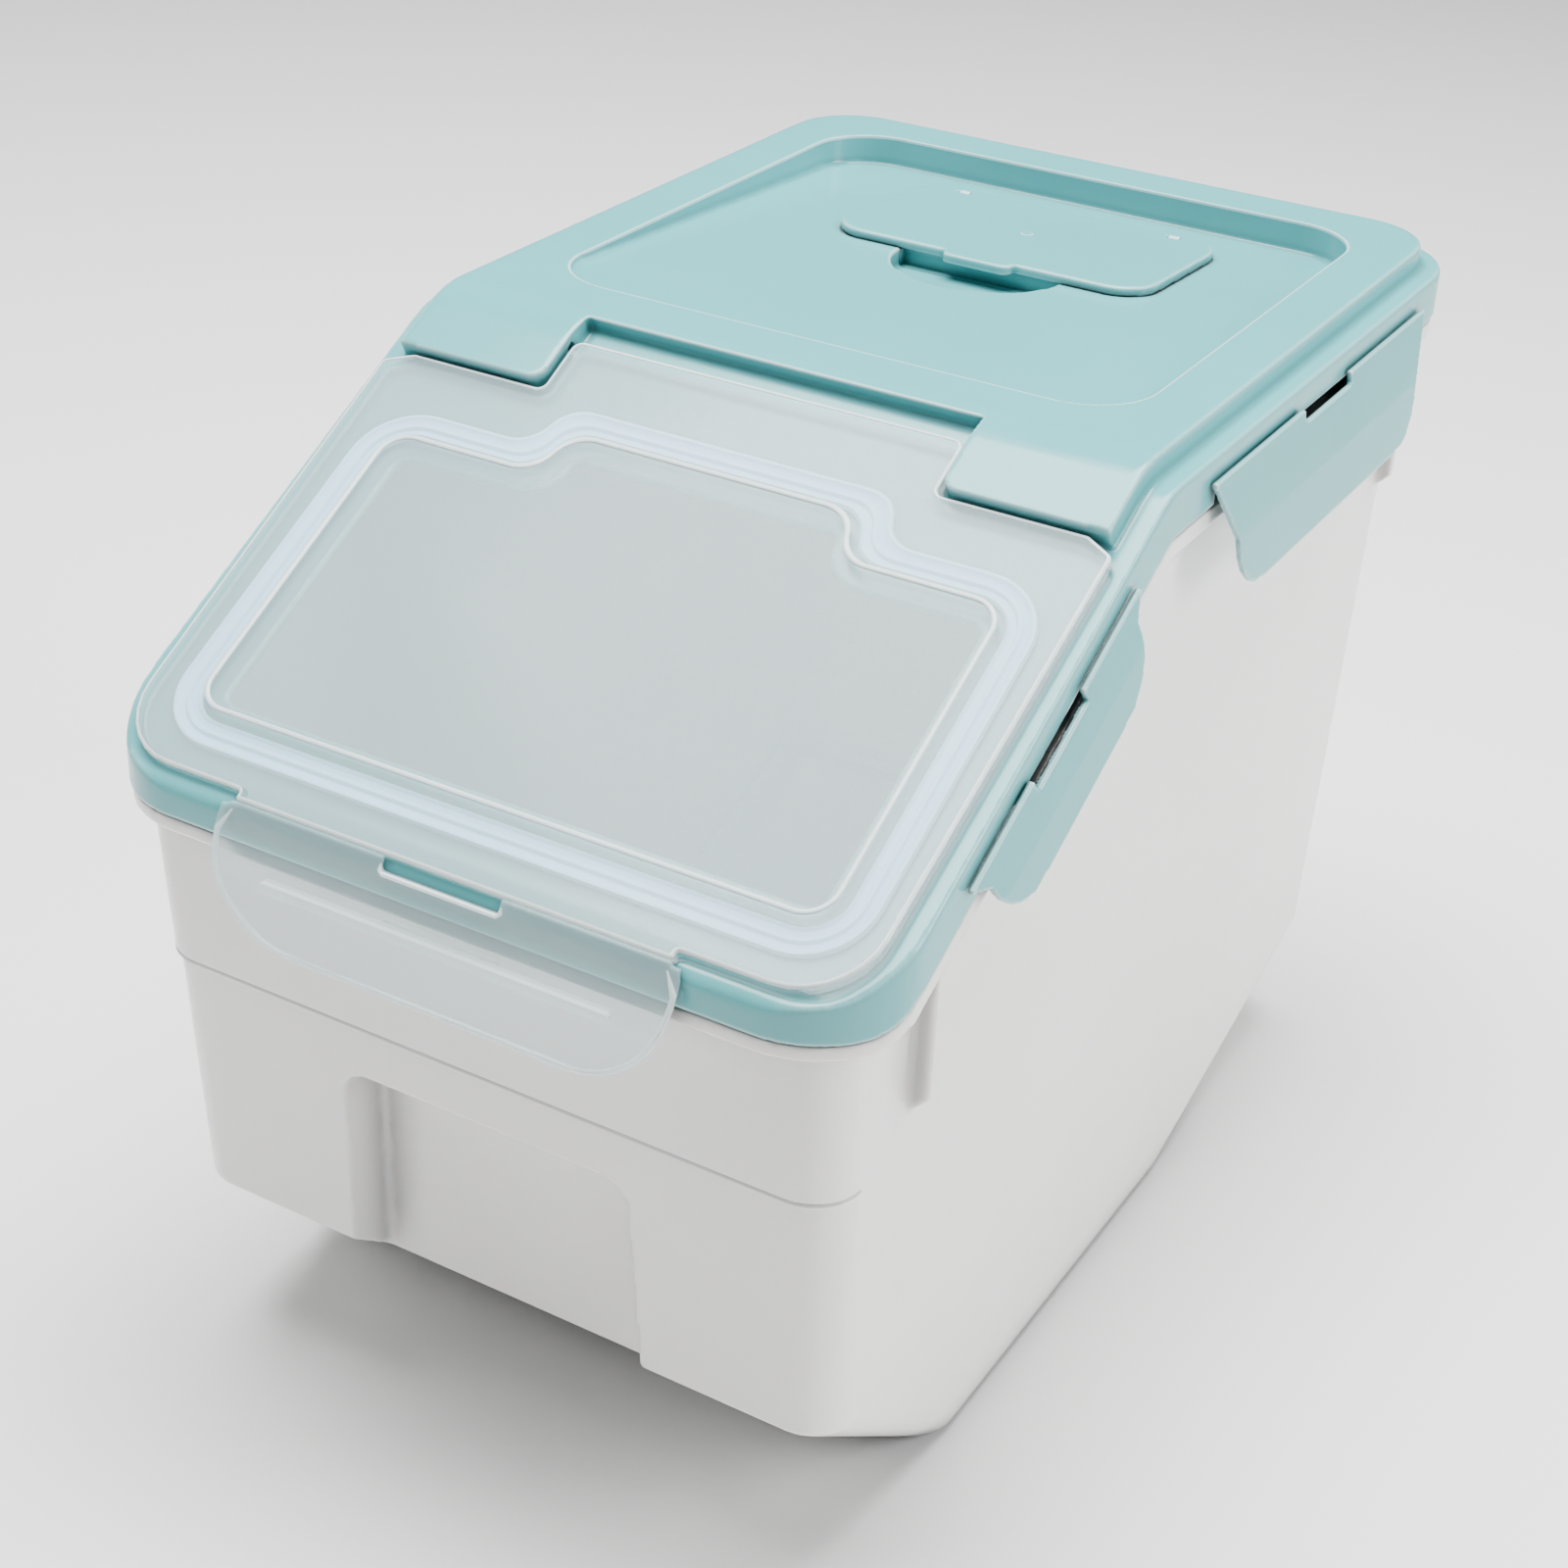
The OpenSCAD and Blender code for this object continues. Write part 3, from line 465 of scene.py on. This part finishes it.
def make_flap_rib():
    """The long rib inside the flap that snaps under the tub's flange."""
    half, d0, d1, reach = 50.0, 14.6, 16.8, 2.2
    rings = []
    for x, shrink in ((-half, 0.5), (-half + 0.6, 0), (half - 0.6, 0), (half, 0.5)):
        section = [(d0 + shrink, 0.5), (d0 + shrink, -reach + shrink), (d1 - shrink, -reach + shrink),
                   (d1 - shrink, 0.5)]
        rings.append([on_flap(x, d, out) for d, out in section])
    loft("front_flap_rib", rings, at, "front_latch", lip_plastic)


# The cover lies along the panel's floor: its front edge's place, its tilt and its size.
COVER_Y, COVER_Z, COVER_TILT, COVER_L, COVER_HALF, COVER_R = 82.22, 265.509, 0.0482, 62.0, 50.5, 12.0


def over_cover(p):
    """Height in mm of a point over the cover's top face, which is below 0 inside the cover."""
    return p.z - COVER_Z + (p.y - COVER_Y) * COVER_TILT


def cover_rounding(p):
    """Further rounding along the cover's upper edge, but not at its hinge."""
    edge = inside(p, COVER_HALF, COVER_Y, COVER_Y + COVER_L, COVER_R)
    lip = abs(p.x) < 12.5 and p.y < COVER_Y + 2
    if over_cover(p) > -1.6 and p.y < COVER_Y + COVER_L - 5 and (edge < 2.2 or lip):
        return 1.0
    return 0.0


GATE_SIDES = 20


def make_gate_mark():
    """The faint round mark that the mould leaves at the middle of the cover."""
    rings = []
    for radius, rise in ((1.9, -0.3), (1.9, 0.02), (1.6, 0.1), (1.2, 0.1), (0.9, 0.02)):
        turns = [2 * math.pi * k / GATE_SIDES for k in range(GATE_SIDES)]
        rings.append([(radius * math.cos(a), COVER_Y + COVER_L / 2 + radius * math.sin(a),
                       COVER_Z + rise - COVER_TILT * (COVER_L / 2 + radius * math.sin(a))) for a in turns])
    loft("cover_gate_mark", rings, at, "cover", aqua_plastic)


# The sunken panel's outline on the deck.
DECK_Z, PANEL_HALF, PANEL_Y0, PANEL_Y1, PANEL_R = 268.4, 87.5, -10.88, 161.22, 20.0


def make_panel_edge():
    """The crisp upper edge of the sunken panel."""
    plan = [(-PANEL_HALF, PANEL_Y0, PANEL_R), (PANEL_HALF, PANEL_Y0, PANEL_R),
            (PANEL_HALF, PANEL_Y1, PANEL_R), (-PANEL_HALF, PANEL_Y1, PANEL_R)]
    edge = [(-1.6, 0.9), (-1.6, 0.05), (-0.25, 0.05), (-0.05, 0.12), (0.04, 0.3), (0.04, 0.9)]
    rings = [level(path(plan, inset, 16), DECK_Z - depth) for inset, depth in edge]
    loft("panel_edge", rings, at, "frame", aqua_plastic, ends=False)


# The step across the tub's front wall: its height, its front, half its width and its corners.
STEP_Z, STEP_Y, STEP_HALF, STEP_R = 126.5, -166.57, 101.28, 13.0
STEP_TURNS = 12


def make_step_edge():
    """A painted shadow: a darker band along the step's lower edge, run round the tub's front corners."""
    section = [(-1.3, 1.0), (-0.02, 1.0), (0.08, 0.8), (0.1, 0.2), (0.0, 0.0), (-1.3, 0.0)]
    turns = [math.pi / 2 * k / STEP_TURNS for k in range(STEP_TURNS + 1)]
    line = [(STEP_HALF - STEP_R, math.cos(a), -math.sin(a)) for a in turns]
    line += [(-x, -nx, ny) for x, nx, ny in reversed(line)]
    rings = [[(x + nx * (STEP_R + out), STEP_Y + STEP_R + ny * (STEP_R + out), STEP_Z + rise)
              for out, rise in section] for x, nx, ny in line]
    loft("tub_step_edge", rings, at, "tub", tub_step_shadow_plastic)


soften("frame_shell", "lid_frame", "frame", aqua_plastic, 0.6, 3, frame_rounding, 24)
soften("tub_shell", "tub", "tub", tub_plastic, 0.95, 2, tub_rounding, 4)
for latch in ("latch_right_front", "latch_right_rear", "latch_left_front", "latch_left_rear"):
    soften(latch + "_flap", latch, latch, aqua_plastic, 0.5, 3)
soften("front_flap", "front_latch", "front_latch", latch_plastic, 0.45, 3)
soften("cover_plate", "compartment_cover", "cover", aqua_plastic, 0.5, 3, cover_rounding, 10)
make_lid()
make_line()
make_lid_edge()
make_seal()
make_flap_lip()
make_flap_rib()
make_gate_mark()
make_panel_edge()
make_step_edge()
paint(nodes["compartment_box"], aqua_plastic)
paint(nodes["rim_gasket"], rubber)


# ---------------------------------------------------------------- studio
def softbox(name, place, aim, size, power):
    light = bpy.data.objects.new(name, bpy.data.lights.new(name, "AREA"))
    light.data.shape = "RECTANGLE"
    light.data.size, light.data.size_y = size
    light.data.energy = power
    light.location = place
    light.rotation_euler = (Vector(aim) - Vector(place)).to_track_quat("-Z", "Y").to_euler()
    bpy.context.scene.collection.objects.link(light)


FLOOR_HALF, FLOOR_PAPER, FLOOR_ROUGH, WORLD_LIGHT = 6, (0.86, 0.86, 0.86, 1), 0.9, 0.16


def make_studio():
    mesh = bpy.data.meshes.new("floor")
    form = bmesh.new()
    bmesh.ops.create_grid(form, x_segments=2, y_segments=2, size=FLOOR_HALF)
    form.to_mesh(mesh)
    form.free()
    floor = bpy.data.objects.new("floor", mesh)
    bpy.context.scene.collection.objects.link(floor)
    look = bpy.data.materials.new("floor_paper")
    look.use_nodes = True
    shader = look.node_tree.nodes["Principled BSDF"]
    shader.inputs["Base Color"].default_value = FLOOR_PAPER
    shader.inputs["Roughness"].default_value = FLOOR_ROUGH
    mesh.materials.append(look)
    world = bpy.data.worlds.new("studio")
    world.use_nodes = True
    background = world.node_tree.nodes["Background"]
    background.inputs["Color"].default_value = (1, 1, 1, 1)
    background.inputs["Strength"].default_value = WORLD_LIGHT
    bpy.context.scene.world = world
    softbox("overhead", (-0.1, 0.1, 1.6), (0, 0, 0.2), (1.4, 1.0), 88)
    softbox("right", (1.9, 0.5, 0.9), (0, 0, 0.12), (0.8, 1.2), 40)
    softbox("left", (-1.6, 0.3, 1.0), (0, 0, 0.15), (0.6, 1.0), 5)


make_camera()
make_studio()
